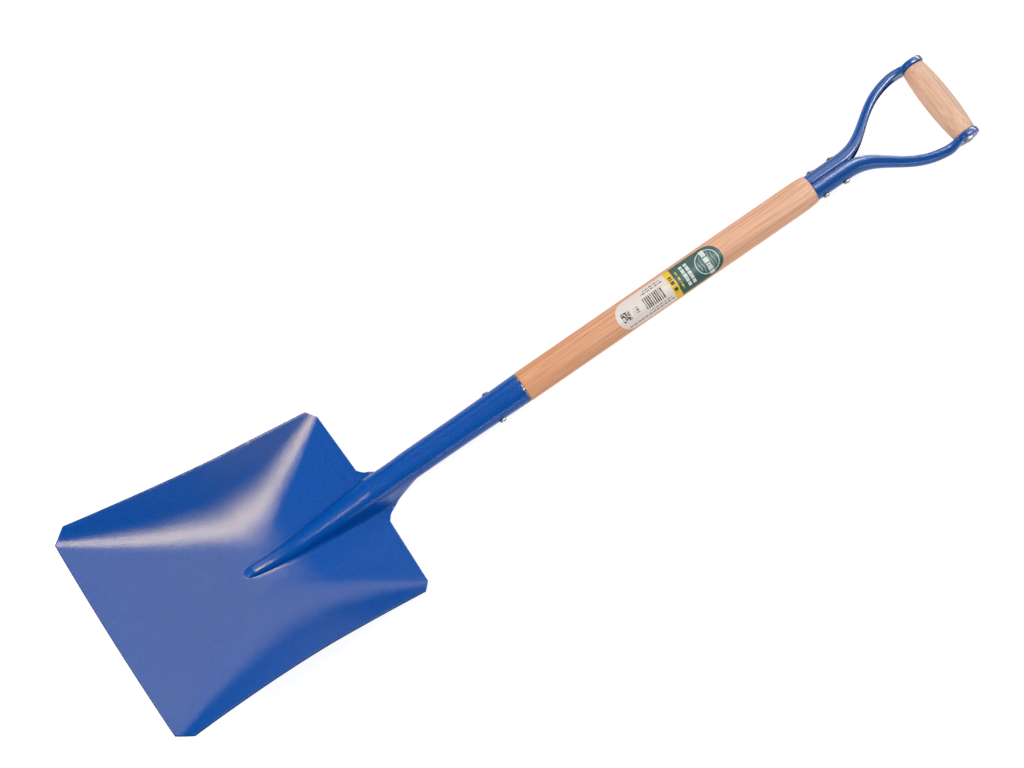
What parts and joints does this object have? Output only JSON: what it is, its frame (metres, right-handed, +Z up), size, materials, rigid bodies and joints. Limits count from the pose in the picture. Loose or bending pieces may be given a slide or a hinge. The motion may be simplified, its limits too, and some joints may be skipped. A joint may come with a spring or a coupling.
{
  "type": "square-mouth shovel",
  "caption": "Long shovel with a square blue steel scoop blade and rolled socket, straight wooden shaft, Y-shaped steel yoke and barrel-shaped wooden D-grip.",
  "frame": {"origin": "on the ground under the middle of the shovel's bounding box, with the shovel lying face up on the back corners of its blade and its grip", "axes": "+X from the blade towards the grip, +Y across the blade, to the left when looking from the blade towards the grip, +Z up out of the face of the blade"},
  "size_m": [0.9942, 0.2444, 0.128],
  "materials": {
    "blade_paint": "blue powder coat with a fine orange-peel texture, semi-gloss",
    "yoke_paint": "blue powder coat, gloss",
    "shaft_wood": "sanded ash with a thin clear varnish, fine straight grain",
    "grip_wood": "pale turned hardwood, lightly varnished",
    "rivet_steel": "bright zinc-plated steel",
    "label_paper": "coated paper label with a yellow band and a dark green field"
  },
  "bodies": {
    "root": {"blade_and_socket": "blade_paint", "shaft": "shaft_wood", "yoke_arm_left": "yoke_paint", "yoke_arm_right": "yoke_paint", "grip": "grip_wood", "grip_rod": "rivet_steel", "socket_rivet": "rivet_steel", "yoke_rivet_1": "rivet_steel", "yoke_rivet_2": "rivet_steel", "label": "label_paper"}
  },
  "joints": []
}
